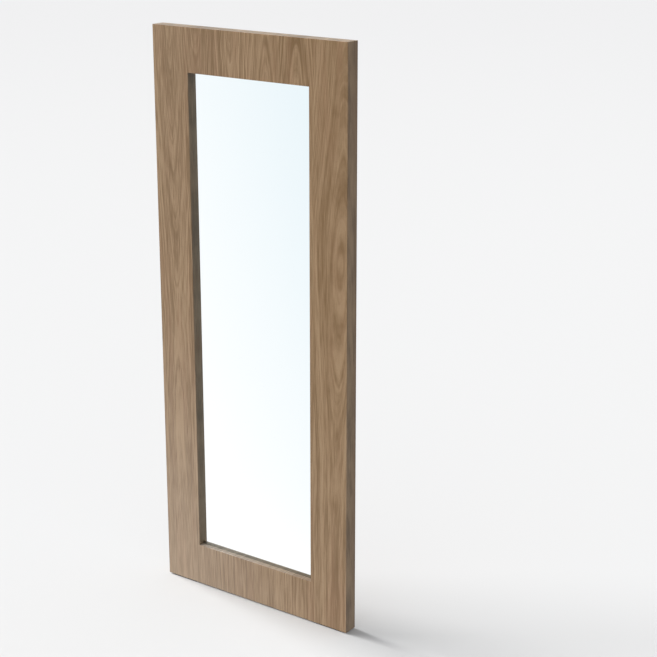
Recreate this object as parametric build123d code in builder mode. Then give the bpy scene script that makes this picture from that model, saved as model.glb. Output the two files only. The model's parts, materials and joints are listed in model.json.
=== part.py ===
from build123d import *
from math import cos, radians, sin
import os

# Floor mirror: a veneered board frame with a deep-set mirror, and an easel leg that folds flush
# into the back. Millimetres, X to the right seen from the front, Y to the back, Z up, origin on the
# floor under the middle of the frame.

# Frame
FRAME_WIDTH = 610.0
FRAME_HEIGHT = 1525.0
FRAME_DEPTH = 40.0
MEMBER_WIDTH = 114.0  # face width of each stile and rail
VENEER = 0.6
LIP_DEPTH = 15.4  # from the front face back to the glass
RABBET_WIDTH = 12.0
EDGE_EASE = 0.4

# Loose tenons, one in each corner
TENON_THICKNESS = 8.0
TENON_WIDTH = 70.0
TENON_LENGTH = 50.0
TENON_PLAY = 0.1
TENON_END_GAP = 1.0

# Glass and what holds it
GLASS_THICKNESS = 4.0
GLASS_PLAY = 2.0  # from the glass edge to the rabbet, and the height of the setting blocks
GLASS_ARRIS = 0.5
SETTING_BLOCK_LENGTH = 60.0
SETTING_BLOCK_INSET = 60.0  # from the glass corner to the middle of the block
FILM_THICKNESS = 0.2
PANEL_THICKNESS = 4.0
PANEL_PLAY = 0.5
BEAD_WIDTH = 8.0
BEAD_HEIGHT = 10.0
BEAD_ROUND = 4.0
BEAD_END_GAP = 6.0
STRIP_HEIGHT = 20.0
STRIP_OVERLAP = 8.0  # how far the strip laps over the backing panel
STRIP_THICKNESS = 6.0
STRIP_END_GAP = 6.0

# Floor pads, one under each stile
PAD_HEIGHT = 3.0
PAD_LENGTH = 80.0
PAD_INSET = 2.0  # from the front and back of the frame

# Keyhole plates
KEYHOLE_DROP = 150.0  # from the top of the frame to the entry hole
KEYHOLE_ENTRY_RADIUS = 5.0
KEYHOLE_SLOT_WIDTH = 5.2
KEYHOLE_SLOT_RISE = 12.0
KEYHOLE_MARGIN = 6.0  # plate left round the entry hole
KEYHOLE_EAR = 14.0  # plate above and below the keyhole, for its screws
KEYHOLE_PLATE_THICKNESS = 2.0
KEYHOLE_POCKET_DEPTH = 10.0
KEYHOLE_POCKET_GAP = 1.0
KEYHOLE_CORNER = 3.0

# Easel leg
PIVOT_DROP = 428.0  # from the top of the frame to the pivot
OPEN_ANGLE = 16.0
LEG_FRONT_GAP = 0.8
LEG_BACK_GAP = 0.8
LEG_GROUND_GAP = 8.0
UPRIGHT_WIDTH = 32.0
UPRIGHT_EASE = 1.0
RUNG_HEIGHT = 40.0
TOP_RUNG_DROP = 95.0  # from the pivot to the middle of the top rung
FOOT_RUNG_RISE = 6.0  # from the rubber feet to the foot rung
RUNG_TENON_LENGTH = 16.0
RUNG_TENON_THICKNESS = 6.0
RUNG_TENON_SHOULDER = 5.0  # above and below the tenon
FOOT_HEIGHT = 12.0
FOOT_EASE = 2.5
FOOT_SPIGOT_WIDTH = 12.0
FOOT_SPIGOT_THICKNESS = 6.0
FOOT_SPIGOT_LENGTH = 8.0

# Pivot
PIN_RADIUS = 3.0
PIN_CLEARANCE = 0.05
PIN_HEAD_GAP = 0.3  # from the pin head to the bracket flange
PIN_HEAD_HEIGHT = 3.0
PIN_TIP_GAP = 1.0
PIN_CHAMFER = 1.0
WALL_GAP = 6.0  # from the pin head to the rabbet wall
BUSH_WALL = 2.0
BUSH_LENGTH = 22.0
BUSH_FLANGE = 2.0
RUNNING_GAP = 0.3
PIVOT_PLATE_THICKNESS = 2.5
PIVOT_PLATE_DROP = 62.0  # from the pivot to the lower end of the plate
PIVOT_PLATE_CORNER = 3.0
PEG_RADIUS = 2.0
PEG_CLEARANCE = 0.2
SLOT_RADIUS = 22.0

# Pivot brackets, let into the back of the stiles
BRACKET_THICKNESS = 2.5
BRACKET_RISE = 24.0  # above the pivot
BRACKET_DROP = 44.0  # below the pivot
BRACKET_SEAT = 30.0  # how far the flange lies on the stile
BRACKET_BEND = 2.0
BRACKET_CORNER = 5.0
BRACKET_PLAY = 0.3

# Levels from front to back
y_front = -FRAME_DEPTH / 2
y_core_front = y_front + VENEER
y_glass = y_front + LIP_DEPTH
y_film = y_glass + GLASS_THICKNESS
y_panel = y_film + FILM_THICKNESS
y_recess = y_panel + PANEL_THICKNESS
y_back = FRAME_DEPTH / 2
y_core_back = y_back - VENEER
y_lip = (y_core_front + y_glass) / 2

# Half widths
half_width = FRAME_WIDTH / 2
core_half = half_width - VENEER
open_half = half_width - MEMBER_WIDTH
lip_half = open_half + VENEER
rabbet_half = open_half + RABBET_WIDTH
member_middle = half_width - MEMBER_WIDTH / 2

# Heights
z_bottom = PAD_HEIGHT
z_top = z_bottom + FRAME_HEIGHT
z_middle = z_bottom + FRAME_HEIGHT / 2
sill_z = z_bottom + MEMBER_WIDTH
head_z = z_top - MEMBER_WIDTH
shelf_z = sill_z - RABBET_WIDTH
soffit_z = head_z + RABBET_WIDTH
core_top = z_top - VENEER

# The leg fills the recess but for its gaps
leg_thickness = y_back - y_recess - LEG_FRONT_GAP - LEG_BACK_GAP
leg_round = leg_thickness / 2
y_pivot = y_recess + LEG_FRONT_GAP + leg_round
z_pivot = z_top - PIVOT_DROP
web_outer = rabbet_half - WALL_GAP - PIN_HEAD_HEIGHT
web_inner = web_outer - BRACKET_THICKNESS
bush_face = web_inner - RUNNING_GAP
plate_face = bush_face - BUSH_FLANGE
leg_half = plate_face - PIVOT_PLATE_THICKNESS
leg_inner = leg_half - UPRIGHT_WIDTH
pin_head_radius = y_back - BRACKET_THICKNESS - PIN_HEAD_GAP - y_pivot
bush_radius = PIN_RADIUS + PIN_CLEARANCE + BUSH_WALL
peg_angle = OPEN_ANGLE / 2
peg_y = y_pivot + SLOT_RADIUS * sin(radians(peg_angle))
peg_z = z_pivot - SLOT_RADIUS * cos(radians(peg_angle))
foot_top = LEG_GROUND_GAP + FOOT_HEIGHT
top_rung_z = z_pivot - TOP_RUNG_DROP
foot_rung_z = foot_top + FOOT_RUNG_RISE + RUNG_HEIGHT / 2
middle_rung_z = (top_rung_z + foot_rung_z) / 2
rung_heights = {"top": top_rung_z, "middle": middle_rung_z, "foot": foot_rung_z}

bracket_low = z_pivot - BRACKET_DROP
bracket_high = z_pivot + BRACKET_RISE
bracket_middle = (bracket_low + bracket_high) / 2
bracket_height = bracket_high - bracket_low
bracket_outer = rabbet_half + BRACKET_SEAT

keyhole_z = z_top - KEYHOLE_DROP
keyhole_width = 2 * (KEYHOLE_ENTRY_RADIUS + KEYHOLE_MARGIN)
keyhole_low = keyhole_z - KEYHOLE_ENTRY_RADIUS
keyhole_high = keyhole_z + KEYHOLE_SLOT_RISE + KEYHOLE_SLOT_WIDTH / 2
keyhole_plate_height = keyhole_high - keyhole_low + 2 * KEYHOLE_EAR
keyhole_plate_z = (keyhole_high + keyhole_low) / 2
keyhole_pocket_height = keyhole_high - keyhole_low + 2 * KEYHOLE_POCKET_GAP

strip_half = leg_inner - STRIP_END_GAP
strip_z = shelf_z + STRIP_OVERLAP - STRIP_HEIGHT / 2

rail_middles = (z_bottom + MEMBER_WIDTH / 2, z_top - MEMBER_WIDTH / 2)
tenon_spots = [(y_lip, rail_z) for rail_z in rail_middles]
mortise_size = (TENON_THICKNESS + 2 * TENON_PLAY, TENON_WIDTH + 2 * TENON_PLAY)
mortise_depth = TENON_LENGTH / 2 + TENON_END_GAP
rung_tenon_width = RUNG_HEIGHT - 2 * RUNG_TENON_SHOULDER

SIDES = (("left", -1), ("right", 1))


def at_back(y):
    """Upright plane at depth y, drawn in X and Z; extruding goes forward, into the wood."""
    return Plane.XZ.offset(-y)


def save(builder, name):
    builder.part.label = name
    export_step(builder.part, f"parts/{name}.step")


os.makedirs("parts", exist_ok=True)

# Stiles: a rabbeted section running the full height, with the seats in their back
for side, sign in SIDES:
    with BuildPart() as stile:
        with BuildSketch(Plane.XY.offset(z_bottom)):
            with BuildLine():
                Polyline(
                    (sign * lip_half, y_core_front),
                    (sign * core_half, y_core_front),
                    (sign * core_half, y_core_back),
                    (sign * rabbet_half, y_core_back),
                    (sign * rabbet_half, y_glass),
                    (sign * lip_half, y_glass),
                    close=True,
                )
            make_face()
        extrude(amount=core_top - z_bottom)
        with BuildSketch(Plane.YZ.offset(sign * lip_half)):
            with Locations(*tenon_spots):
                Rectangle(*mortise_size)
        extrude(amount=sign * mortise_depth, mode=Mode.SUBTRACT)
        with BuildSketch(at_back(y_back)):
            with Locations((sign * rabbet_half, bracket_middle)):
                Rectangle(2 * (BRACKET_SEAT + BRACKET_PLAY), bracket_height + 2 * BRACKET_PLAY)
        extrude(amount=BRACKET_THICKNESS, mode=Mode.SUBTRACT)
        with BuildSketch(at_back(y_back)):
            with Locations((sign * member_middle, keyhole_plate_z)):
                RectangleRounded(
                    keyhole_width + 2 * BRACKET_PLAY,
                    keyhole_plate_height + 2 * BRACKET_PLAY,
                    KEYHOLE_CORNER + BRACKET_PLAY,
                )
        extrude(amount=KEYHOLE_PLATE_THICKNESS, mode=Mode.SUBTRACT)
        with BuildSketch(at_back(y_back)):
            with Locations((sign * member_middle, keyhole_plate_z)):
                SlotOverall(
                    keyhole_pocket_height,
                    2 * (KEYHOLE_ENTRY_RADIUS + KEYHOLE_POCKET_GAP),
                    rotation=90,
                )
        extrude(amount=KEYHOLE_POCKET_DEPTH, mode=Mode.SUBTRACT)
    save(stile, f"{side}_stile")

# Rails: the lip butts between the stiles, the tongue behind it laps into their rabbets
with BuildPart() as top_rail:
    with BuildSketch(Plane.YZ):
        with Locations((y_core_front, core_top)):
            Rectangle(y_core_back - y_core_front, core_top - soffit_z, align=(Align.MIN, Align.MAX))
            Rectangle(y_glass - y_core_front, core_top - head_z - VENEER, align=(Align.MIN, Align.MAX))
    extrude(amount=lip_half, both=True)
    with BuildSketch(Plane.YZ):
        with Locations((y_glass, core_top)):
            Rectangle(y_core_back - y_glass, core_top - soffit_z, align=(Align.MIN, Align.MAX))
    extrude(amount=rabbet_half, both=True)
    for sign in (-1, 1):
        with BuildSketch(Plane.YZ.offset(sign * lip_half)):
            with Locations(*tenon_spots):
                Rectangle(*mortise_size)
        extrude(amount=-sign * mortise_depth, mode=Mode.SUBTRACT)
save(top_rail, "top_rail")

# The bottom rail is as thin as glass and panel allow, so that the leg folds flush behind it
with BuildPart() as bottom_rail:
    with BuildSketch(Plane.YZ):
        with Locations((y_core_front, z_bottom)):
            Rectangle(y_recess - y_core_front, shelf_z - z_bottom, align=Align.MIN)
            Rectangle(y_glass - y_core_front, sill_z - VENEER - z_bottom, align=Align.MIN)
    extrude(amount=lip_half, both=True)
    with BuildSketch(Plane.YZ):
        with Locations((y_glass, z_bottom)):
            Rectangle(y_recess - y_glass, shelf_z - z_bottom, align=Align.MIN)
    extrude(amount=rabbet_half, both=True)
    for sign in (-1, 1):
        with BuildSketch(Plane.YZ.offset(sign * lip_half)):
            with Locations(*tenon_spots):
                Rectangle(*mortise_size)
        extrude(amount=-sign * mortise_depth, mode=Mode.SUBTRACT)
save(bottom_rail, "bottom_rail")

with BuildPart() as corner_tenons:
    for sign in (-1, 1):
        with BuildSketch(Plane.YZ.offset(sign * lip_half)):
            with Locations(*tenon_spots):
                Rectangle(TENON_THICKNESS, TENON_WIDTH)
        extrude(amount=TENON_LENGTH / 2, both=True)
save(corner_tenons, "corner_tenons")

# Veneers: one sheet on the face, strips on the outer edges, in the reveal and on the back
with BuildPart() as face_veneer:
    with BuildSketch(at_back(y_core_front)):
        with Locations((0, z_middle)):
            Rectangle(FRAME_WIDTH, FRAME_HEIGHT)
            Rectangle(2 * open_half, head_z - sill_z, mode=Mode.SUBTRACT)
    extrude(amount=VENEER)
    fillet(face_veneer.faces().sort_by(Axis.Y)[0].edges(), EDGE_EASE)
save(face_veneer, "face_veneer")

for side, sign in SIDES:
    with BuildPart() as edge_veneer:
        with BuildSketch(Plane.YZ.offset(sign * core_half)):
            with Locations((y_core_front, z_bottom)):
                Rectangle(y_back - y_core_front, FRAME_HEIGHT, align=Align.MIN)
        extrude(amount=sign * VENEER)
        outer_face = edge_veneer.faces().sort_by(Axis.X)[0 if sign < 0 else -1]
        fillet(outer_face.edges().filter_by(Axis.Z).sort_by(Axis.Y)[-1], EDGE_EASE)
    save(edge_veneer, f"edge_veneer_{side}")

    with BuildPart() as reveal_veneer:
        with BuildSketch(Plane.YZ.offset(sign * open_half)):
            with Locations((y_core_front, sill_z)):
                Rectangle(y_glass - y_core_front, head_z - sill_z, align=Align.MIN)
        extrude(amount=sign * VENEER)
    save(reveal_veneer, f"reveal_veneer_{side}")

    with BuildPart() as back_veneer:
        with BuildSketch(at_back(y_back)):
            with Locations((sign * (rabbet_half + core_half) / 2, z_bottom)):
                Rectangle(core_half - rabbet_half, core_top - z_bottom, align=(Align.CENTER, Align.MIN))
            with Locations((sign * rabbet_half, bracket_middle)):
                Rectangle(
                    2 * (BRACKET_SEAT + BRACKET_PLAY), bracket_height + 2 * BRACKET_PLAY, mode=Mode.SUBTRACT
                )
            with Locations((sign * member_middle, keyhole_plate_z)):
                RectangleRounded(
                    keyhole_width + 2 * BRACKET_PLAY,
                    keyhole_plate_height + 2 * BRACKET_PLAY,
                    KEYHOLE_CORNER + BRACKET_PLAY,
                    mode=Mode.SUBTRACT,
                )
        extrude(amount=VENEER)
    save(back_veneer, f"back_veneer_{side}")

with BuildPart() as edge_veneer_top:
    with BuildSketch(Plane.XY.offset(core_top)):
        with Locations((0, y_core_front)):
            Rectangle(2 * core_half, y_back - y_core_front, align=(Align.CENTER, Align.MIN))
    extrude(amount=VENEER)
    top_face = edge_veneer_top.faces().sort_by(Axis.Z)[-1]
    fillet(top_face.edges().filter_by(Axis.X).sort_by(Axis.Y)[-1], EDGE_EASE)
save(edge_veneer_top, "edge_veneer_top")

for name, reveal_z, rise in (("bottom", sill_z, -VENEER), ("top", head_z, VENEER)):
    with BuildPart() as cross_reveal:
        with BuildSketch(Plane.XY.offset(reveal_z)):
            with Locations((0, y_core_front)):
                Rectangle(2 * lip_half, y_glass - y_core_front, align=(Align.CENTER, Align.MIN))
        extrude(amount=rise)
    save(cross_reveal, f"reveal_veneer_{name}")

with BuildPart() as back_veneer_top:
    with BuildSketch(at_back(y_back)):
        with Locations((0, core_top)):
            Rectangle(2 * rabbet_half, core_top - soffit_z, align=(Align.CENTER, Align.MAX))
    extrude(amount=VENEER)
save(back_veneer_top, "back_veneer_top")

# Glass on its setting blocks, film and backing panel
glass_half = rabbet_half - GLASS_PLAY
glass_low = shelf_z + GLASS_PLAY
glass_height = soffit_z - GLASS_PLAY - glass_low
with BuildPart() as mirror_glass:
    with BuildSketch(at_back(y_film)):
        with Locations((0, glass_low)):
            Rectangle(2 * glass_half, glass_height, align=(Align.CENTER, Align.MIN))
    extrude(amount=GLASS_THICKNESS)
    chamfer(mirror_glass.edges().filter_by(Axis.Y, reverse=True), GLASS_ARRIS)
save(mirror_glass, "mirror_glass")

with BuildPart() as setting_blocks:
    with BuildSketch(Plane.XY.offset(shelf_z)):
        with Locations(*[(sign * (glass_half - SETTING_BLOCK_INSET), y_glass) for sign in (-1, 1)]):
            Rectangle(SETTING_BLOCK_LENGTH, GLASS_THICKNESS, align=(Align.CENTER, Align.MIN))
    extrude(amount=GLASS_PLAY)
save(setting_blocks, "setting_blocks")

with BuildPart() as safety_film:
    with BuildSketch(at_back(y_panel)):
        with Locations((0, glass_low + GLASS_ARRIS)):
            Rectangle(
                2 * (glass_half - GLASS_ARRIS),
                glass_height - 2 * GLASS_ARRIS,
                align=(Align.CENTER, Align.MIN),
            )
    extrude(amount=FILM_THICKNESS)
save(safety_film, "safety_film")

with BuildPart() as backing_panel:
    with BuildSketch(at_back(y_recess)):
        with Locations((0, shelf_z)):
            Rectangle(
                2 * (rabbet_half - PANEL_PLAY),
                soffit_z - PANEL_PLAY - shelf_z,
                align=(Align.CENTER, Align.MIN),
            )
    extrude(amount=PANEL_THICKNESS)
save(backing_panel, "backing_panel")

# Retaining beads: the side beads leave room for the pivot brackets
bead_top = soffit_z - BEAD_WIDTH
side_bead_spans = (
    (z_bottom, bracket_low - BEAD_END_GAP),
    (bracket_high + BEAD_END_GAP, bead_top),
)
for side, sign in SIDES:
    with BuildPart() as side_bead:
        for low, high in side_bead_spans:
            with BuildSketch(Plane.XY.offset(low)) as bead_section:
                with Locations((sign * (rabbet_half - BEAD_WIDTH / 2), y_recess)):
                    Rectangle(BEAD_WIDTH, BEAD_HEIGHT, align=(Align.CENTER, Align.MIN))
                inner_corner = (sign * (rabbet_half - BEAD_WIDTH), y_recess + BEAD_HEIGHT, 0)
                fillet(bead_section.vertices().sort_by_distance(inner_corner)[0], BEAD_ROUND)
            extrude(amount=high - low)
    save(side_bead, f"retaining_bead_{side}")

with BuildPart() as top_bead:
    with BuildSketch(Plane.YZ) as bead_section:
        with Locations((y_recess, soffit_z)):
            Rectangle(BEAD_HEIGHT, BEAD_WIDTH, align=(Align.MIN, Align.MAX))
        inner_corner = (y_recess + BEAD_HEIGHT, bead_top, 0)
        fillet(bead_section.vertices().sort_by_distance(inner_corner)[0], BEAD_ROUND)
    extrude(amount=rabbet_half, both=True)
save(top_bead, "retaining_bead_top")

strip_back = y_recess + STRIP_THICKNESS
with BuildPart() as retaining_strip:
    with BuildSketch(at_back(strip_back)):
        with Locations((0, strip_z)):
            Rectangle(2 * strip_half, STRIP_HEIGHT)
    extrude(amount=STRIP_THICKNESS)
    fillet(retaining_strip.faces().sort_by(Axis.Y)[-1].edges(), UPRIGHT_EASE)
save(retaining_strip, "retaining_strip_bottom")

# Floor pads, stuck under the stiles
with BuildPart() as floor_pads:
    with BuildSketch(Plane.XY):
        with Locations((-member_middle, 0), (member_middle, 0)):
            Rectangle(PAD_LENGTH, FRAME_DEPTH - 2 * PAD_INSET)
    extrude(amount=PAD_HEIGHT)
save(floor_pads, "floor_pads")

# Keyhole plates for hanging on a wall
for side, sign in SIDES:
    with BuildPart() as keyhole_plate:
        with BuildSketch(at_back(y_back)):
            with Locations((sign * member_middle, keyhole_plate_z)):
                RectangleRounded(keyhole_width, keyhole_plate_height, KEYHOLE_CORNER)
            with Locations((sign * member_middle, keyhole_z)):
                Circle(KEYHOLE_ENTRY_RADIUS, mode=Mode.SUBTRACT)
            with Locations((sign * member_middle, keyhole_z + KEYHOLE_SLOT_RISE / 2)):
                SlotCenterToCenter(
                    KEYHOLE_SLOT_RISE, KEYHOLE_SLOT_WIDTH, rotation=90, mode=Mode.SUBTRACT
                )
        extrude(amount=KEYHOLE_PLATE_THICKNESS)
    save(keyhole_plate, f"keyhole_plate_{side}")

# Pivot brackets: the flange is let into the back of the stile, the web stands in the recess
web_front = y_recess + LEG_FRONT_GAP
for side, sign in SIDES:
    with BuildPart() as bracket:
        with BuildSketch(Plane.XY.offset(bracket_low)) as bracket_section:
            with Locations((sign * (web_inner + bracket_outer) / 2, y_back)):
                Rectangle(
                    bracket_outer - web_inner, BRACKET_THICKNESS, align=(Align.CENTER, Align.MAX)
                )
            with Locations((sign * (web_inner + web_outer) / 2, web_front)):
                Rectangle(BRACKET_THICKNESS, y_back - web_front, align=(Align.CENTER, Align.MIN))
            bend_corner = (sign * web_inner, y_back, 0)
            fillet(bracket_section.vertices().sort_by_distance(bend_corner)[0], BRACKET_BEND)
        extrude(amount=bracket_height)
        outer_corners = bracket.edges().filter_by(Axis.Y).sort_by(Axis.X)
        fillet(outer_corners[:2] if sign < 0 else outer_corners[-2:], BRACKET_CORNER)
        web_corners = bracket.edges().filter_by(Axis.X).group_by(Axis.Y)[0]
        fillet(web_corners, BRACKET_CORNER)
        with BuildSketch(Plane.YZ.offset(sign * web_inner)):
            with Locations((y_pivot, z_pivot)):
                Circle(PIN_RADIUS + PIN_CLEARANCE)
            with Locations((peg_y, peg_z)):
                Circle(PEG_RADIUS + PIN_CLEARANCE)
        extrude(amount=sign * BRACKET_THICKNESS, mode=Mode.SUBTRACT)
    save(bracket, f"pivot_bracket_{side}")

    # The pin turns in the bush of the leg
    pin_tip = leg_half - BUSH_LENGTH + PIN_TIP_GAP
    with BuildPart() as pivot_pin:
        with BuildSketch(Plane.YZ.offset(sign * web_outer)):
            with Locations((y_pivot, z_pivot)):
                Circle(PIN_RADIUS)
        extrude(amount=-sign * (web_outer - pin_tip))
        with BuildSketch(Plane.YZ.offset(sign * web_outer)):
            with Locations((y_pivot, z_pivot)):
                Circle(pin_head_radius)
        extrude(amount=sign * PIN_HEAD_HEIGHT)
        chamfer(pivot_pin.edges().filter_by(GeomType.CIRCLE).sort_by(Axis.X)[:: -sign][0], PIN_CHAMFER)
    save(pivot_pin, f"pivot_pin_{side}")

    # The peg stands in the slot of the pivot plate and stops the leg at both ends
    with BuildPart() as stop_peg:
        with BuildSketch(Plane.YZ.offset(sign * web_outer)):
            with Locations((peg_y, peg_z)):
                Circle(PEG_RADIUS)
        extrude(amount=-sign * (web_outer - leg_half - RUNNING_GAP))
    save(stop_peg, f"stop_peg_{side}")

# Leg uprights with a round head on the pivot, their plates, bushes and feet
stop_arc = CenterArc((0, 0), SLOT_RADIUS, 270 - peg_angle, OPEN_ANGLE)
for side, sign in SIDES:
    upright_middle = sign * (leg_half + leg_inner) / 2
    with BuildPart() as upright:
        with BuildSketch(Plane.YZ.offset(sign * leg_inner)):
            with Locations((y_pivot, z_pivot)):
                Circle(leg_round)
                Rectangle(leg_thickness, z_pivot - foot_top, align=(Align.CENTER, Align.MAX))
        extrude(amount=sign * UPRIGHT_WIDTH)
        fillet(upright.edges().filter_by(Axis.Z), UPRIGHT_EASE)
        with BuildSketch(Plane.YZ.offset(sign * leg_half)):
            with Locations((y_pivot, z_pivot)):
                Circle(bush_radius + PIN_CLEARANCE)
        extrude(amount=-sign * (BUSH_LENGTH + PIN_TIP_GAP), mode=Mode.SUBTRACT)
        with BuildSketch(Plane.YZ.offset(sign * leg_inner)):
            with Locations(*[(y_pivot, rung_z) for rung_z in rung_heights.values()]):
                Rectangle(RUNG_TENON_THICKNESS + 2 * TENON_PLAY, rung_tenon_width + 2 * TENON_PLAY)
        extrude(amount=sign * (RUNG_TENON_LENGTH + TENON_END_GAP), mode=Mode.SUBTRACT)
        with BuildSketch(Plane.XY.offset(foot_top)):
            with Locations((upright_middle, y_pivot)):
                Rectangle(FOOT_SPIGOT_WIDTH + 2 * TENON_PLAY, FOOT_SPIGOT_THICKNESS + 2 * TENON_PLAY)
        extrude(amount=FOOT_SPIGOT_LENGTH + TENON_END_GAP, mode=Mode.SUBTRACT)
    save(upright, f"leg_upright_{side}")

    with BuildPart() as pivot_plate:
        with BuildSketch(Plane.YZ.offset(sign * leg_half)) as plate_outline:
            with Locations((y_pivot, z_pivot)):
                Circle(leg_round)
                Rectangle(leg_thickness, PIVOT_PLATE_DROP, align=(Align.CENTER, Align.MAX))
            fillet(plate_outline.vertices().group_by(Axis.Y)[0], PIVOT_PLATE_CORNER)
            with Locations((y_pivot, z_pivot)):
                Circle(bush_radius + PIN_CLEARANCE, mode=Mode.SUBTRACT)
                SlotArc(stop_arc, 2 * (PEG_RADIUS + PEG_CLEARANCE), mode=Mode.SUBTRACT)
        extrude(amount=sign * PIVOT_PLATE_THICKNESS)
    save(pivot_plate, f"pivot_plate_{side}")

    with BuildPart() as bush:
        with BuildSketch(Plane.YZ.offset(sign * plate_face)):
            with Locations((y_pivot, z_pivot)):
                Circle(bush_radius)
        extrude(amount=-sign * (PIVOT_PLATE_THICKNESS + BUSH_LENGTH))
        with BuildSketch(Plane.YZ.offset(sign * plate_face)):
            with Locations((y_pivot, z_pivot)):
                Circle(leg_round)
        extrude(amount=sign * BUSH_FLANGE)
        with BuildSketch(Plane.YZ.offset(sign * bush_face)):
            with Locations((y_pivot, z_pivot)):
                Circle(PIN_RADIUS + PIN_CLEARANCE)
        extrude(amount=-sign * (BUSH_FLANGE + PIVOT_PLATE_THICKNESS + BUSH_LENGTH), mode=Mode.SUBTRACT)
    save(bush, f"pivot_bush_{side}")

    with BuildPart() as foot:
        with BuildSketch(Plane.XY.offset(foot_top)):
            with Locations((upright_middle, y_pivot)):
                Rectangle(UPRIGHT_WIDTH, leg_thickness)
        extrude(amount=-FOOT_HEIGHT)
        chamfer(foot.faces().sort_by(Axis.Z)[0].edges(), FOOT_EASE)
        with BuildSketch(Plane.XY.offset(foot_top)):
            with Locations((upright_middle, y_pivot)):
                Rectangle(FOOT_SPIGOT_WIDTH, FOOT_SPIGOT_THICKNESS)
        extrude(amount=FOOT_SPIGOT_LENGTH)
    save(foot, f"leg_foot_{side}")

# Rungs tenoned into the uprights
for name, rung_z in rung_heights.items():
    with BuildPart() as rung:
        with BuildSketch(Plane.YZ) as rung_section:
            with Locations((y_pivot, rung_z)):
                Rectangle(leg_thickness, RUNG_HEIGHT)
            fillet(rung_section.vertices(), UPRIGHT_EASE)
        extrude(amount=leg_inner, both=True)
        with BuildSketch(Plane.YZ):
            with Locations((y_pivot, rung_z)):
                Rectangle(RUNG_TENON_THICKNESS, rung_tenon_width)
        extrude(amount=leg_inner + RUNG_TENON_LENGTH, both=True)
    save(rung, f"leg_{name}_rung")
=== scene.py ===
import json
from math import cos, e, pi, radians, sin

import bmesh
import bpy
from mathutils import Matrix, Vector

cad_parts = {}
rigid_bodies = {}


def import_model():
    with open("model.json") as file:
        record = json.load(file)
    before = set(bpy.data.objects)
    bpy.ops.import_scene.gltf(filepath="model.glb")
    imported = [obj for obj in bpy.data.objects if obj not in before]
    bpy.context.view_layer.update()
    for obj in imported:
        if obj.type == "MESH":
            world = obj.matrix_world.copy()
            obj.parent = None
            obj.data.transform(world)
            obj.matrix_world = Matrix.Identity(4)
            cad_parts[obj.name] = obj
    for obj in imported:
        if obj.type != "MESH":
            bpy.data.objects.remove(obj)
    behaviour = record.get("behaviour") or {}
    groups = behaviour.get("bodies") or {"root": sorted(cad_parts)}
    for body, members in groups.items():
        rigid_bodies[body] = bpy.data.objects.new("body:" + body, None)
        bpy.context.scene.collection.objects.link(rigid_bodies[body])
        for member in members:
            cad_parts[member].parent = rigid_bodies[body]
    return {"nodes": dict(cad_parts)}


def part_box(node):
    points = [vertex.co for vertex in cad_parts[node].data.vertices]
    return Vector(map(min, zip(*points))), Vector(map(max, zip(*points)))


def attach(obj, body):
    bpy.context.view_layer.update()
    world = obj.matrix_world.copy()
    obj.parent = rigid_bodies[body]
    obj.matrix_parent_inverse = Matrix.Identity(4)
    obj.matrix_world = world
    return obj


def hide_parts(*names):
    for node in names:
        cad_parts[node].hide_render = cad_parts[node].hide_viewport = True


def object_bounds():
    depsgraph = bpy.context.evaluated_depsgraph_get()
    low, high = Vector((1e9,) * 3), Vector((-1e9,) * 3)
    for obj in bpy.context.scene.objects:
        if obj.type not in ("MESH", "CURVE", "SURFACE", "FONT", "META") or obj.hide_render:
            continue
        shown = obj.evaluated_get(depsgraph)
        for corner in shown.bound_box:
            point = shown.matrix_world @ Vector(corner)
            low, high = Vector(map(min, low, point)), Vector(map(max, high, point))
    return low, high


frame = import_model()
cad_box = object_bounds()
nodes = frame["nodes"]
scene = bpy.context.scene

# The whole mirror, from the frame. Metres throughout: X to the right, Y to the back, Z up.
FRONT_Y = cad_box[0].y
FRAME_HALF = cad_box[1].x
BACK_Y = cad_box[1].y
TOP_Z = cad_box[1].z
SILL_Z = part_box("reveal_veneer_bottom")[1].z

# Figure of the face veneer: six leaves, each a shade over a sixth of the width, counted from 0 at
# the left. The grain is straight low down. Away from the waist, rings open or close so fast.
LEAF_WIDTH = 0.1017
FIRST_EYED_LEAF = 3
LAST_LEAF = 5
STRAIGHT_BELOW = 0.50
STRAIGHT_FADE = 0.25
WAIST_Z = 0.74
EYED_WAIST_RISE = 0.27
CROWN_SCATTER = 0.020
LAST_CROWN_SHIFT = 0.026
LAST_CROWN_LEAN = 0.026
OPENING = 0.06
CLOSING = 0.07

# Tones of the walnut, pale and deep.
FACE_PALE = (0.326, 0.211, 0.114, 1)
FACE_DEEP = (0.158, 0.083, 0.027, 1)
EDGE_PALE = (0.336, 0.210, 0.106, 1)
EDGE_DEEP = (0.152, 0.080, 0.026, 1)
REVEAL_PALE = (0.325, 0.236, 0.147, 1)
REVEAL_DEEP = (0.168, 0.114, 0.064, 1)
BACK_PALE = (0.290, 0.185, 0.104, 1)
BACK_DEEP = (0.128, 0.074, 0.036, 1)
SOLID_PALE = (0.270, 0.170, 0.096, 1)
SOLID_DEEP = (0.120, 0.068, 0.034, 1)

# Other tones of the walnut: pores, warmer and redder places, the darker back edge, and the greys of the
# painted sheen on the face and the sill.
PORE = (0.095, 0.055, 0.028, 1)
BACK_PORE = (0.060, 0.034, 0.018, 1)
WARM_WALNUT = (0.300, 0.165, 0.088, 1)
RUDDY_WALNUT = (0.215, 0.112, 0.044, 1)
DARK_ARRIS = (0.120, 0.058, 0.022, 1)
# Painted sheen: greys added to the face and the sill for the gloss of the lacquer.
FACE_PAINTED_SHEEN = (0.068, 0.066, 0.061, 1)
SILL_PAINTED_SHEEN = (0.228, 0.233, 0.230, 1)
ARRIS_WIDTH = 0.006

# Tones of the zinc plating, pale and deep.
PLATE_PALE = (0.56, 0.57, 0.58, 1)
PLATE_DEEP = (0.49, 0.50, 0.515, 1)
SCREW_PALE = (0.46, 0.455, 0.44, 1)
SCREW_DEEP = (0.38, 0.375, 0.365, 1)

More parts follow.
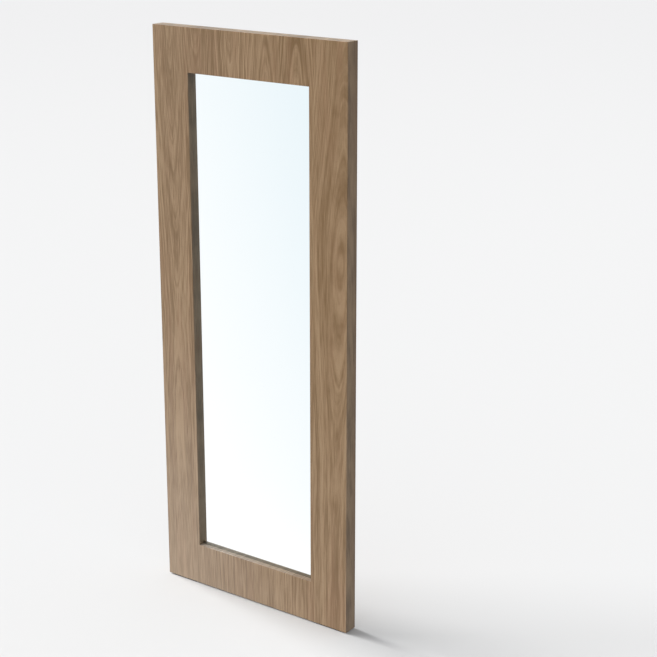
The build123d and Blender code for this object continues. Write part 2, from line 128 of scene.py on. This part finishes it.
# Tones of the moulded pieces, clean and dusty.
NYLON = (0.62, 0.60, 0.55, 1)
NYLON_DUSTY = (0.72, 0.70, 0.65, 1)
RUBBER = (0.030, 0.030, 0.031, 1)
RUBBER_DUSTY = (0.062, 0.061, 0.060, 1)

# Screws: radius of the heads, how far they stand out, and where they sit on their plates.
BRACKET_SCREW = 0.0036
HANGER_SCREW = 0.0030
PLATE_SCREW = 0.0032
STRIP_SCREW = 0.0038
COUNTERSUNK = -0.0002
PLATE_SCREW_PROUD = 0.0007
STRIP_SCREW_PROUD = 0.0009
BRACKET_SCREW_FROM_SIDE = 0.015
BRACKET_SCREW_FROM_END = 0.010
HANGER_SCREW_FROM_END = 0.007
PLATE_SCREWS_UP = (0.009, 0.024)
STRIP_SCREW_UP = 0.006
STRIP_SCREW_FROM_END = 0.020
ROUND_STEPS = 48

# What the mirror shows of the room, near and far.
MIRRORED_NEAR = (1.06, 1.06, 1.06, 1)
MIRRORED_FAR = (0.83, 0.925, 0.975, 1)


# Materials


class Value:
    """A socket in a material's node tree, which takes part in sums as a number does."""

    def __init__(self, tree, socket=None):
        self.tree = tree
        self.socket = socket

    def node(self, kind, inputs=None, output=0, **settings):
        """A new node: its settings come first, then the values or links of its sockets."""
        made = self.tree.nodes.new("ShaderNode" + kind)
        for name, setting in settings.items():
            setattr(made, name, setting)
        for name, value in (inputs or {}).items():
            if isinstance(value, Value):
                self.tree.links.new(value.socket, made.inputs[name])
            else:
                made.inputs[name].default_value = value
        return Value(self.tree, made.outputs[output] if made.outputs else None)

    def output(self, name):
        return Value(self.tree, self.socket.node.outputs[name])

    def maths(self, operation, *values):
        return self.node("Math", dict(enumerate(values)), operation=operation)

    def __add__(self, other):
        return self.maths("ADD", self, other)

    def __radd__(self, other):
        return self.maths("ADD", other, self)

    def __sub__(self, other):
        return self.maths("SUBTRACT", self, other)

    def __rsub__(self, other):
        return self.maths("SUBTRACT", other, self)

    def __mul__(self, other):
        return self.maths("MULTIPLY", self, other)

    def __rmul__(self, other):
        return self.maths("MULTIPLY", other, self)

    def __truediv__(self, other):
        return self.maths("DIVIDE", self, other)

    def __pow__(self, power):
        return self.maths("POWER", self, power)

    def floor(self):
        return self.maths("FLOOR", self)

    def over(self, limit):
        """1 above the limit, else 0."""
        return self.maths("GREATER_THAN", self, limit)

    def ramp(self, low, high, start=0.0, end=1.0):
        """start below low, end above high and a smooth rise between."""
        values = {0: self, 1: low, 2: high, 3: start, 4: end}
        return self.node("MapRange", values, interpolation_type="SMOOTHSTEP")

    def noise(self, x, y, z, detail=2.0, roughness=0.5):
        """Soft noise about 0.5, with spots one unit wide along x, y and z."""
        place = self.node("CombineXYZ", {0: x, 1: y, 2: z})
        values = {"Vector": place, "Scale": 1.0, "Detail": detail, "Roughness": roughness}
        return self.node("TexNoise", values)

    def colour(self, amount, first, second, blend_type="MIX"):
        """first at amount 0 and second at amount 1."""
        values = {0: amount, 6: first, 7: second}
        return self.node("Mix", values, 2, data_type="RGBA", blend_type=blend_type)

    def bump(self, height, strength, distance):
        return self.node("Bump", {"Height": height, "Strength": strength, "Distance": distance})


def start_finish(name):
    """A new material, a Value to make its nodes with and the place on the object in metres."""
    material = bpy.data.materials.new(name)
    material.use_nodes = True
    material.node_tree.nodes.clear()
    make = Value(material.node_tree)
    place = make.node("TexCoord", output="Object")
    x = make.node("SeparateXYZ", {0: place})
    return material, make, x, x.output("Y"), x.output("Z")


def end_finish(material, make, **sockets):
    """Closes the material with one shader. A socket's name has _ for each space."""
    values = {name.replace("_", " "): value for name, value in sockets.items()}
    shader = make.node("BsdfPrincipled", values)
    make.node("OutputMaterial", {"Surface": shader})
    return material


# In the finishes below, a place times a number is so many spots or lines to the metre, and a leaf
# times a number gives each leaf a pattern of its own.


def growth_rings(make, across, along, leaf, chance, eyed):
    """The distance of a place from the heart of its leaf, ring by ring.

    The rings of a left leaf draw in at its waist and open above and below. Those of an eyed leaf
    close into long eyes about the waist. The numbers added to the squares round off their tips.
    Also gives how far the grain wanders sideways, and the calm heart of the last leaf."""
    last = leaf.over(LAST_LEAF - 0.5)
    figured = along.maths("SMOOTH_MAX", along, STRAIGHT_BELOW, STRAIGHT_FADE)
    from_waist = figured - WAIST_Z - eyed * EYED_WAIST_RISE
    taper = (from_waist * from_waist + 0.004) ** 0.5
    lean = last * (LAST_CROWN_SHIFT + LAST_CROWN_LEAN * from_waist)
    middle = (leaf + 0.5) * LEAF_WIDTH - FRAME_HALF
    crown = middle + (chance - 0.5) * CROWN_SCATTER + lean
    from_crown = across - crown
    heart = (from_crown * from_crown + 0.0006 + last * 0.0012) ** 0.5
    calm = last * heart.ramp(0.062, 0.044) * along.ramp(0.45, 0.75)
    sway = (make.noise(across * 7, along * 1.6, leaf * 5.1) - 0.5) * 0.024
    waver = (make.noise(across * 45, along * 9, leaf * 3.3) - 0.5) * 0.0026
    wander = sway + waver
    ring = heart + (eyed * (OPENING + CLOSING) - OPENING) * taper + wander
    return ring, wander, calm


def figured_veneer(name, unroll, sheen_grey=None):
    """Crown cut walnut leaves side by side. unroll gives the way across and along the grain.

    sheen_grey, when given, is a painted sheen: grey added towards the lower left for the gloss of the
    lacquer."""
    material, make, x, y, z = start_finish(name)
    across, along = unroll(x, y, z)
    leaf = ((across + FRAME_HALF) / LEAF_WIDTH).floor()
    chance = make.node("TexWhiteNoise", {"W": leaf + 3.0}, noise_dimensions="1D")
    eyed = leaf.over(FIRST_EYED_LEAF - 0.5)
    ring, wander, calm = growth_rings(make, across, along, leaf, chance, eyed)
    bands = make.noise(ring * 220, leaf * 7.7, along * 1.2)
    lines = make.noise(ring * 430, leaf * 2.9, along * 8.0, roughness=0.6)
    late = make.noise(ring * 300, leaf * 1.9, along, detail=1).ramp(0.56, 0.72)
    streak = make.noise((across + wander) * 400, along * 15, leaf * 1.3)
    mottle = make.noise(across * 45, along * 20, leaf * 6.1 + 4.0)
    broad = make.noise(across * 14, along * 1.8, leaf * 4.7)
    fibre = make.noise(across * 1500, along * 22, leaf)
    pores = make.noise(across * 2300, along * 130, leaf * 2, detail=1).ramp(0.62, 0.74)
    figure = (
        (bands - 0.5) * 1.15
        + (lines - 0.5) * 0.95
        + (streak - 0.5) * (1.05 - calm * 0.75)
        + (mottle - 0.5) * calm * 0.8
        + (broad - 0.5) * 0.7
        + (fibre - 0.5) * 0.60
        + (chance - 0.5) * 0.18
        - late * 0.18
    )
    bold = 1.28 - eyed * 0.28
    tone = 0.50 + figure * bold
    wood = make.colour(tone.ramp(0.0, 1.0), FACE_DEEP, FACE_PALE)
    warm = make.noise(across * 30, along * 2.5, leaf * 9.1).ramp(0.45, 0.75, end=0.30)
    wood = make.colour(warm, wood, WARM_WALNUT)
    wood = make.colour(pores * 0.45, wood, PORE)
    rough = 0.40 + (fibre - 0.5) * 0.10 + pores * 0.12
    relief = make.bump(fibre * 0.4 - pores, strength=0.12, distance=0.0002)
    coat = {}
    # Painted sheen: grey added towards the lower left, streaked with the grain, with a real clear coat
    # over the same place.
    if sheen_grey:
        left = x.ramp(FRAME_HALF, -FRAME_HALF)
        low = z.ramp(0.95, -0.20)
        sheen_mask = (left * 0.22 + low * 0.25 + left * low * 0.84) * (0.5 + streak)
        wood = make.colour(sheen_mask, wood, sheen_grey, "ADD")
        coat = {"Coat_Weight": sheen_mask * 0.7, "Coat_Roughness": 0.35}
    return end_finish(material, make, Base_Color=wood, Roughness=rough, Normal=relief, **coat)


def edge_strip(name, unroll, pale, deep, arris=0.0):
    """A narrow strip of walnut with soft patches. arris darkens it along the back edge."""
    material, make, x, y, z = start_finish(name)
    across, along = unroll(x, y, z)
    patch = make.noise(across * 45 + along * 3, along * 11, 0.3, detail=3, roughness=0.55)
    stripe = make.noise(across * 330, along * 6, 3.0)
    fibre = make.noise(across * 1500, along * 22, 1.0)
    pores = make.noise(across * 2300, along * 130, 2.0, detail=1).ramp(0.62, 0.74)
    tone = 0.56 + (patch - 0.5) * 2.0 + (stripe - 0.5) * 1.0 + (fibre - 0.5) * 0.45
    wood = make.colour(tone.ramp(0.0, 1.0), deep, pale)
    ruddy = make.noise(across * 22 - along * 3, along * 5, 7.1) + y * 9.0
    wood = make.colour(ruddy.ramp(0.42, 0.72) * 0.60, wood, RUDDY_WALNUT)
    wood = make.colour(pores * 0.45, wood, PORE)
    if arris:
        # Darker towards the back edge of the strip.
        darker_back_edge = y.ramp(BACK_Y - ARRIS_WIDTH, BACK_Y, end=arris)
        wood = make.colour(darker_back_edge, wood, DARK_ARRIS)
    rough = 0.44 + (fibre - 0.5) * 0.10 + pores * 0.12
    relief = make.bump(fibre * 0.4 - pores, strength=0.12, distance=0.0002)
    return end_finish(material, make, Base_Color=wood, Roughness=rough, Normal=relief)


def plain_walnut(name, unroll, pale, deep):
    """Straight grained walnut, for the back and the leg. unroll gives across, along and depth."""
    material, make, x, y, z = start_finish(name)
    across, along, depth = unroll(x, y, z)
    swayed = across + (make.noise(across * 9, along * 2.0, depth * 9) - 0.5) * 0.016
    bands = make.noise(swayed * 130, along * 1.5, depth * 130, detail=3, roughness=0.6)
    lines = make.noise(swayed * 520, along * 4, depth * 520)
    broad = make.noise(across * 12, along * 2.0, depth * 12, detail=1)
    fibre = make.noise(across * 1600, along * 24, depth * 1600)
    pores = make.noise(across * 2200, along * 110, depth * 2200, detail=1).ramp(0.62, 0.74)
    figure = (
        (bands - 0.5) * 1.5
        + (lines - 0.5) * 0.8
        + (broad - 0.5) * 0.4
        + (fibre - 0.5) * 0.7
    )
    tone = 0.5 + figure
    wood = make.colour(tone.ramp(0.0, 1.0), deep, pale)
    wood = make.colour(pores * 0.45, wood, BACK_PORE)
    rough = 0.46 + (fibre - 0.5) * 0.14 + pores * 0.12
    relief = make.bump(fibre * 0.4 - pores, strength=0.16, distance=0.0002)
    return end_finish(material, make, Base_Color=wood, Roughness=rough, Normal=relief)


def pale_beech():
    """The loose tenons in the corners: beech with its small dark flecks."""
    pale = (0.66, 0.46, 0.29, 1)
    deep = (0.50, 0.31, 0.17, 1)
    fleck_brown = (0.36, 0.19, 0.09, 1)
    material, make, x, y, z = start_finish("beech_tenon")
    grain = make.noise(x * 5, y * 160, z * 220, detail=3)
    fleck = make.noise(x * 90, y * 700, z * 900, detail=1).ramp(0.60, 0.70)
    wood = make.colour(grain.ramp(0.25, 0.75), deep, pale)
    wood = make.colour(fleck * 0.6, wood, fleck_brown)
    rough = 0.55 + grain * 0.15
    relief = make.bump(grain, strength=0.15, distance=0.0002)
    return end_finish(material, make, Base_Color=wood, Roughness=rough, Normal=relief)


def fibre_core():
    """Sawn fibreboard: fine fluff and specks, no direction."""
    pale = (0.44, 0.31, 0.19, 1)
    deep = (0.30, 0.20, 0.115, 1)
    cloud_brown = (0.33, 0.21, 0.12, 1)
    speck_brown = (0.16, 0.09, 0.05, 1)
    material, make, x, y, z = start_finish("fibreboard_core")
    fluff = make.noise(x * 1100, y * 1100, z * 1100, detail=3, roughness=0.7)
    cloud = make.noise(x * 40, y * 40, z * 40)
    specks = make.noise(x * 620, y * 620, z * 620, detail=1).ramp(0.66, 0.74)
    board = make.colour(fluff.ramp(0.30, 0.70), deep, pale)
    board = make.colour(cloud * 0.3, board, cloud_brown)
    board = make.colour(specks * 0.6, board, speck_brown)
    rough = 0.78 + fluff * 0.15
    relief = make.bump(fluff, strength=0.35, distance=0.0003)
    return end_finish(material, make, Base_Color=board, Roughness=rough, Normal=relief)


def pressed_hardboard():
    """The back panel: brown pressed fibre with the mark of the press screen."""
    pale = (0.255, 0.150, 0.082, 1)
    deep = (0.150, 0.082, 0.042, 1)
    cloud_brown = (0.120, 0.064, 0.034, 1)
    screen_radians = 2600
    material, make, x, y, z = start_finish("hardboard_panel")
    long_fibre = make.noise(x * 500, y * 500, z * 260, detail=3, roughness=0.65)
    cloud = make.noise(x * 9, y * 9, z * 9, detail=3)
    across = x.maths("SINE", x * screen_radians)
    down = z.maths("SINE", z * screen_radians)
    screen = (across * down).ramp(-0.6, 0.9)
    board = make.colour(long_fibre.ramp(0.28, 0.72), deep, pale)
    board = make.colour(cloud.ramp(0.35, 0.75) * 0.45, board, cloud_brown)
    rough = 0.55 + long_fibre * 0.2
    relief = make.bump(screen * 0.6 + long_fibre * 0.6, strength=0.30, distance=0.0003)
    return end_finish(material, make, Base_Color=board, Roughness=rough, Normal=relief)


def zinc_plate(name, brushed, pale, deep):
    """Zinc plated steel. brushed gives across, along and depth of the rolling marks."""
    mark_grey = (0.34, 0.345, 0.36, 1)
    material, make, x, y, z = start_finish(name)
    across, along, depth = brushed(x, y, z)
    marks = make.noise(across * 2600, along * 60, depth * 2600)
    bloom = make.noise(x * 130, y * 130, z * 130, detail=3)
    steel = make.colour(bloom.ramp(0.35, 0.70), pale, deep)
    steel = make.colour(marks.ramp(0.50, 0.75) * 0.45, steel, mark_grey)
    rough = 0.25 + bloom * 0.10 + marks * 0.14
    relief = make.bump(marks, strength=0.06, distance=0.0001)
    return end_finish(material, make, Base_Color=steel, Metallic=1.0, Roughness=rough, Normal=relief)


def moulded(name, body, dusty, rough, grain):
    """Moulded nylon or rubber with a fine grained skin, a little dusty."""
    material, make, x, y, z = start_finish(name)
    skin = make.noise(x * grain, y * grain, z * grain)
    dust = make.noise(x * 70, y * 70, z * 70, detail=3)
    shade = make.colour(dust.ramp(0.40, 0.75), body, dusty)
    relief = make.bump(skin, strength=0.25, distance=0.0002)
    return end_finish(material, make, Base_Color=shade, Roughness=rough + skin * 0.16, Normal=relief)


def silvered_glass():
    """The mirror: a silver coat with a faint cool tint, and a painted shade along its lower edge, a grey
    band that darkens the reflected sill.
    """
    silver = (0.970, 0.980, 0.978, 1)
    hazed_silver = (0.955, 0.970, 0.970, 1)
    painted_shade_grey = (0.46, 0.47, 0.44, 1)
    material, make, x, y, z = start_finish("silvered_glass")
    haze = make.noise(x * 5, y * 5, z * 4)
    # Painted shade: a grey band just above the sill, so the sill seen in the mirror is darker.
    painted_shade_band = z.ramp(SILL_Z + 0.0075, SILL_Z + 0.0105, start=1.0, end=0.0)
    tint = make.colour(haze, hazed_silver, silver)
    tint = make.colour(painted_shade_band, tint, painted_shade_grey)
    return end_finish(material, make, Base_Color=tint, Metallic=1.0, Roughness=0.004 + haze * 0.006)


def backing_film():
    """The film on the back of the mirror: thin grey plastic with a soft quilting."""
    pale = (0.52, 0.55, 0.57, 1)
    deep = (0.40, 0.43, 0.46, 1)
    material, make, x, y, z = start_finish("safety_film")
    crease = make.noise(x * 24, y * 24, z * 16, detail=3)
    film = make.colour(crease, deep, pale)
    rough = 0.3 + crease * 0.2
    relief = make.bump(crease, strength=0.2, distance=0.0005)
    return end_finish(material, make, Base_Color=film, Roughness=rough, Normal=relief)


def dress(finish, *names):
    for name in names:
        piece = nodes[name]
        piece.data.materials.clear()
        piece.data.materials.append(finish)


def pair(name):
    return f"{name}_left", f"{name}_right"


# The face grain runs on over the sill and the top. The four strips differ by a shift across.
# The face and the sill carry the painted sheen.
face = figured_veneer("veneer_face", lambda x, y, z: (x, z), FACE_PAINTED_SHEEN)
over_sill = figured_veneer("veneer_over_sill", lambda x, y, z: (x, y + (SILL_Z - FRONT_Y)), SILL_PAINTED_SHEEN)
over_top = figured_veneer("veneer_over_top", lambda x, y, z: (x, y + (TOP_Z - FRONT_Y)))
left_edge = edge_strip("veneer_left_edge", lambda x, y, z: (y, z), EDGE_PALE, EDGE_DEEP, arris=0.6)
right_edge = edge_strip("veneer_right_edge", lambda x, y, z: (y + 1, z), EDGE_PALE, EDGE_DEEP, arris=0.6)
left_reveal = edge_strip("veneer_left_reveal", lambda x, y, z: (y + 2, z), REVEAL_PALE, REVEAL_DEEP)
right_reveal = edge_strip("veneer_right_reveal", lambda x, y, z: (y + 3, z), REVEAL_PALE, REVEAL_DEEP)
back = plain_walnut("veneer_back", lambda x, y, z: (x, z, y), BACK_PALE, BACK_DEEP)
upright = plain_walnut("walnut_upright", lambda x, y, z: (x, z, y), SOLID_PALE, SOLID_DEEP)
rail = plain_walnut("walnut_rail", lambda x, y, z: (z, x, y), SOLID_PALE, SOLID_DEEP)
zinc_flat = zinc_plate("zinc_plate", lambda x, y, z: (x, z, y), PLATE_PALE, PLATE_DEEP)
zinc_pin = zinc_plate("zinc_pin", lambda x, y, z: (y, x, z), PLATE_PALE, PLATE_DEEP)
zinc_screw = zinc_plate("zinc_screw", lambda x, y, z: (x, y, z), SCREW_PALE, SCREW_DEEP)
nylon = moulded("nylon_bush", NYLON, NYLON_DUSTY, rough=0.36, grain=1500)
rubber = moulded("black_rubber", RUBBER, RUBBER_DUSTY, rough=0.62, grain=1900)

dress(fibre_core(), "left_stile", "right_stile", "top_rail", "bottom_rail")
dress(pale_beech(), "corner_tenons")
dress(face, "face_veneer")
dress(left_edge, "edge_veneer_left")
dress(right_edge, "edge_veneer_right")
dress(over_top, "edge_veneer_top", "reveal_veneer_top")
dress(left_reveal, "reveal_veneer_left")
dress(right_reveal, "reveal_veneer_right")
dress(over_sill, "reveal_veneer_bottom")
dress(back, *pair("back_veneer"), "back_veneer_top")
dress(silvered_glass(), "mirror_glass")
dress(backing_film(), "safety_film")
dress(pressed_hardboard(), "backing_panel")
dress(upright, *pair("retaining_bead"), *pair("leg_upright"))
dress(rail, "retaining_bead_top", "retaining_strip_bottom")
dress(rail, "leg_top_rung", "leg_middle_rung", "leg_foot_rung")
dress(rubber, "setting_blocks", "floor_pads", *pair("leg_foot"))
dress(zinc_flat, *pair("keyhole_plate"), *pair("pivot_bracket"), *pair("pivot_plate"))
dress(zinc_pin, *pair("pivot_pin"), *pair("stop_peg"))
dress(nylon, *pair("pivot_bush"))


# Screws


def turned_to(facing):
    """The turn that takes up to the way a screw faces."""
    return Vector((0, 0, 1)).rotation_difference(Vector(facing)).to_matrix().to_4x4()


def cross_slot(long, short):
    """Corners of a cross with arms so long from its middle and so wide to each side."""
    corners = []
    arm = [(short, long), (-short, long), (-short, short)]
    for _ in range(4):
        corners += arm
        arm = [(-b, a) for a, b in arm]
    return corners


def join_loops(work, first, second):
    count = len(first)
    for k in range(count):
        after = (k + 1) % count
        work.faces.new((first[k], second[k], second[after], first[after]))


def screw_head(radius, proud):
    """A countersunk head with a cross slot, facing up. Its proportions are shares of the radius."""
    work = bmesh.new()

    def ring(scale, drop):
        turns = [2 * pi * k / ROUND_STEPS for k in range(ROUND_STEPS)]
        across = radius * scale
        height = proud - radius * drop
        return [work.verts.new((across * cos(turn), across * sin(turn), height)) for turn in turns]

    def cross(scale, drop):
        corners = cross_slot(long=radius * 0.64, short=radius * 0.14)
        height = proud - radius * drop
        return [work.verts.new((a * scale, b * scale, height)) for a, b in corners]

    rim = ring(scale=1.0, drop=0.10)
    crown = ring(scale=0.93, drop=0.0)
    skirt = ring(scale=0.40, drop=0.62)
    slot = cross(scale=1.0, drop=0.0)
    foot = cross(scale=0.62, drop=0.45)
    join_loops(work, crown, rim)
    join_loops(work, rim, skirt)
    join_loops(work, foot, slot)
    work.faces.new(foot)
    work.faces.new(reversed(skirt))
    top_edges = []
    for loop in (crown, slot):
        for k, vert in enumerate(loop):
            ends = (vert, loop[(k + 1) % len(loop)])
            top_edges.append(work.edges.get(ends))
    bmesh.ops.triangle_fill(work, edges=top_edges, use_beauty=True)
    bmesh.ops.recalc_face_normals(work, faces=work.faces)
    return work


def screw_heads(name, radius, proud, places, facing, body):
    """Heads at these places as one piece. proud is how far they stand out of the surface."""
    work = bmesh.new()
    for place in places:
        head = screw_head(radius, proud)
        head.transform(Matrix.Translation(place) @ turned_to(facing))
        one = bpy.data.meshes.new("one_head")
        head.to_mesh(one)
        head.free()
        work.from_mesh(one)
        bpy.data.meshes.remove(one)
    mesh = bpy.data.meshes.new(name)
    work.to_mesh(mesh)
    work.free()
    mesh.materials.append(zinc_screw)
    piece = bpy.data.objects.new(name, mesh)
    scene.collection.objects.link(piece)
    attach(piece, body)


def countersinks(radius, places, facing):
    """Cones that cut the seats of the screw heads."""
    work = bmesh.new()
    for place in places:
        sunk = Matrix.Translation((0, 0, -0.35 * radius))
        bmesh.ops.create_cone(
            work,
            cap_ends=True,
            segments=ROUND_STEPS,
            radius1=radius * 0.32,
            radius2=radius * 1.36,
            depth=radius * 1.1,
            matrix=Matrix.Translation(place) @ turned_to(facing) @ sunk,
        )
    mesh = bpy.data.meshes.new("countersinks")
    work.to_mesh(mesh)
    work.free()
    return mesh


def plate_with_holes(node, name, radius, places, facing, body):
    """The CAD plate with its countersunk screw holes, in its place."""
    plate = bpy.data.objects.new(name, nodes[node].data.copy())
    cutter = bpy.data.objects.new("countersinks", countersinks(radius, places, facing))
    scene.collection.objects.link(plate)
    scene.collection.objects.link(cutter)
    cut = plate.modifiers.new("countersinks", "BOOLEAN")
    cut.operation = "DIFFERENCE"
    cut.solver = "EXACT"
    cut.object = cutter
    bpy.context.view_layer.update()
    cut_plate = plate.evaluated_get(bpy.context.evaluated_depsgraph_get())
    mesh = bpy.data.meshes.new_from_object(cut_plate)
    plate.modifiers.clear()
    plate.data = mesh
    bpy.data.objects.remove(cutter)
    mesh.materials.clear()
    mesh.materials.append(zinc_flat)
    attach(plate, body)
    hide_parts(node)


def outer_side(node, sign):
    """The side of a node that lies away from the middle, along X. sign is -1 on the left."""
    low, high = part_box(node)
    return sign * max(abs(low.x), abs(high.x))


def bracket_screw_places(bracket, sign):
    """Three up the wing that lies on the stile."""
    low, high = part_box(bracket)
    x = outer_side(bracket, sign) - sign * BRACKET_SCREW_FROM_SIDE
    middle = (low.z + high.z) / 2
    heights = (low.z + BRACKET_SCREW_FROM_END, middle, high.z - BRACKET_SCREW_FROM_END)
    return [Vector((x, BACK_Y, z)) for z in heights]


def hanger_screw_places(hanger):
    """One at each end, in the middle of the width."""
    low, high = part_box(hanger)
    x = (low.x + high.x) / 2
    heights = (low.z + HANGER_SCREW_FROM_END, high.z - HANGER_SCREW_FROM_END)
    return [Vector((x, BACK_Y, z)) for z in heights]


def plate_screw_places(plate, sign):
    """Two at the lower end, on the outer face."""
    low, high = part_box(plate)
    y = (low.y + high.y) / 2
    return [Vector((outer_side(plate, sign), y, low.z + up)) for up in PLATE_SCREWS_UP]


def strip_screw_places(strip):
    """One near each end and one in the middle, along the lower half."""
    low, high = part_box(strip)
    middle = (low.x + high.x) / 2
    row = (low.x + STRIP_SCREW_FROM_END, middle, high.x - STRIP_SCREW_FROM_END)
    return [Vector((x, high.y, low.z + STRIP_SCREW_UP)) for x in row]


BACKWARDS = (0, 1, 0)
for side, sign in (("left", -1), ("right", 1)):
    bracket = f"pivot_bracket_{side}"
    hanger = f"keyhole_plate_{side}"
    on_bracket = bracket_screw_places(bracket, sign)
    on_hanger = hanger_screw_places(hanger)
    on_plate = plate_screw_places(f"pivot_plate_{side}", sign)
    outwards = (sign, 0, 0)
    plate_with_holes(bracket, f"bracket_plate_{side}", BRACKET_SCREW, on_bracket, BACKWARDS, "frame")
    plate_with_holes(hanger, f"hanger_plate_{side}", HANGER_SCREW, on_hanger, BACKWARDS, "frame")
    screw_heads(f"bracket_screws_{side}", BRACKET_SCREW, COUNTERSUNK, on_bracket, BACKWARDS, "frame")
    screw_heads(f"hanger_screws_{side}", HANGER_SCREW, COUNTERSUNK, on_hanger, BACKWARDS, "frame")
    screw_heads(f"plate_screws_{side}", PLATE_SCREW, PLATE_SCREW_PROUD, on_plate, outwards, "easel_leg")

on_strip = strip_screw_places("retaining_strip_bottom")
screw_heads("strip_screws", STRIP_SCREW, STRIP_SCREW_PROUD, on_strip, BACKWARDS, "frame")


# Floor, light and camera


def mirrored_sight(path):
    """1 for what the camera sees in glass or metal, else 0."""
    mirrored = path.output("Is Glossy Ray") + path.output("Is Transmission Ray")
    direct = path.output("Diffuse Depth").ramp(0.0, 1.0, start=1.0, end=0.0)
    return (mirrored * direct).ramp(0.0, 1.0)


def pale_floor():
    """A grey floor that takes the shade, shown paler to the camera and as a bright room in glass."""
    lit_grey = (0.60, 0.60, 0.60, 1)
    cast_grey = (0.25, 0.25, 0.25, 1)
    near_glow = (0.051, 0.044, 0.039, 1)
    far_glow = (0.012, 0.002, 0.0, 1)
    material, make, x, y, z = start_finish("studio_floor")
    path = make.node("LightPath", output="Is Camera Ray")

    reach = (x * x + y * y) ** 0.5
    seen = make.colour(reach.ramp(1.5, 16.0), near_glow, far_glow)
    lit = make.node("BsdfDiffuse", {"Color": lit_grey})
    glow = make.node("Emission", {"Color": seen, "Strength": 1.0})
    shown = make.node("AddShader", {0: lit, 1: glow})
    cast = make.node("BsdfDiffuse", {"Color": cast_grey})
    plain = make.node("MixShader", {0: path, 1: cast, 2: shown})

    # The bright room in front dims slowly with the distance, and sooner on one side.
    ahead = x * -0.592 - y * 0.806
    ahead = ahead.maths("MAXIMUM", ahead, 0.3)
    aside = x * 0.806 - y * 0.592
    far = 0.27 + 0.27 * ahead.maths("LOGARITHM", ahead, e) + (aside - 0.05) * 5.8 / (ahead + 4)
    room = make.colour(far, MIRRORED_NEAR, MIRRORED_FAR)
    room_glow = make.node("Emission", {"Color": room, "Strength": 1.0})

    surface = make.node("MixShader", {0: mirrored_sight(path), 1: plain, 2: room_glow})
    make.node("OutputMaterial", {"Surface": surface})
    return material


def lay_floor(span):
    corners = [(-span, -span, 0), (span, -span, 0), (span, span, 0), (-span, span, 0)]
    mesh = bpy.data.meshes.new("studio_floor")
    mesh.from_pydata(corners, [], [(0, 1, 2, 3)])
    mesh.materials.append(pale_floor())
    floor = bpy.data.objects.new("studio_floor", mesh)
    scene.collection.objects.link(floor)
    return floor


def fill_air():
    """Soft light from all round, shown paler to the camera and as the far room in glass."""
    lighting = (0.446, 0.463, 0.479, 1)
    shown = (0.875, 0.885, 0.890, 1)
    world = bpy.data.worlds.new("studio_air")
    world.use_nodes = True
    world.node_tree.nodes.clear()
    make = Value(world.node_tree)
    path = make.node("LightPath", output="Is Camera Ray")
    tone = make.colour(path, lighting, shown)
    tone = make.colour(mirrored_sight(path), tone, MIRRORED_FAR)
    air = make.node("Background", {"Color": tone, "Strength": 1.0})
    make.node("OutputWorld", {"Surface": air})
    scene.world = world


def softbox(name, receivers, azimuth, elevation, strength, softness):
    """A large far lamp, angles in degrees. One with receivers lights only them, unseen in glass."""
    lamp = bpy.data.lights.new(name, "SUN")
    lamp.energy = strength
    lamp.angle = radians(softness)
    holder = bpy.data.objects.new(name, lamp)
    holder.light_linking.receiver_collection = receivers
    holder.visible_glossy = receivers is None
    turn = radians(azimuth)
    rise = radians(elevation)
    towards = Vector((cos(rise) * cos(turn), cos(rise) * sin(turn), sin(rise)))
    holder.rotation_euler = towards.to_track_quat("Z", "Y").to_euler()
    scene.collection.objects.link(holder)


def light_studio(floor):
    lit_floor = bpy.data.collections.new("lit_floor")
    lit_floor.objects.link(floor)
    lit_pieces = bpy.data.collections.new("lit_pieces")
    for piece in scene.collection.all_objects:
        if piece.type == "MESH" and piece != floor:
            lit_pieces.objects.link(piece)
    softbox("front_softbox", lit_pieces, azimuth=232, elevation=30, strength=2.15, softness=16)
    softbox("left_softbox", None, azimuth=190, elevation=30, strength=3.00, softness=44)
    softbox("floor_softbox", lit_floor, azimuth=180, elevation=25, strength=3.84, softness=26)
    softbox("back_softbox", lit_pieces, azimuth=108, elevation=22, strength=1.20, softness=30)


def place_camera():
    """The camera of the photograph: its place, how far it is turned to the left and tipped down."""
    place = (2.50888, -3.09489, 2.00685)
    turned = radians(36.3143)
    tipped = radians(17.2526)
    camera_data = bpy.data.cameras.new("camera")
    camera_data.sensor_width = 36.0
    camera_data.lens = 88.663
    camera_data.clip_end = 200.0
    camera = bpy.data.objects.new("camera", camera_data)
    camera.location = place
    camera.rotation_euler = (pi / 2 - tipped, 0, turned)
    scene.collection.objects.link(camera)
    scene.camera = camera


studio_floor = lay_floor(span=70.0)
fill_air()
light_studio(studio_floor)
place_camera()
scene.view_settings.view_transform = "Standard"
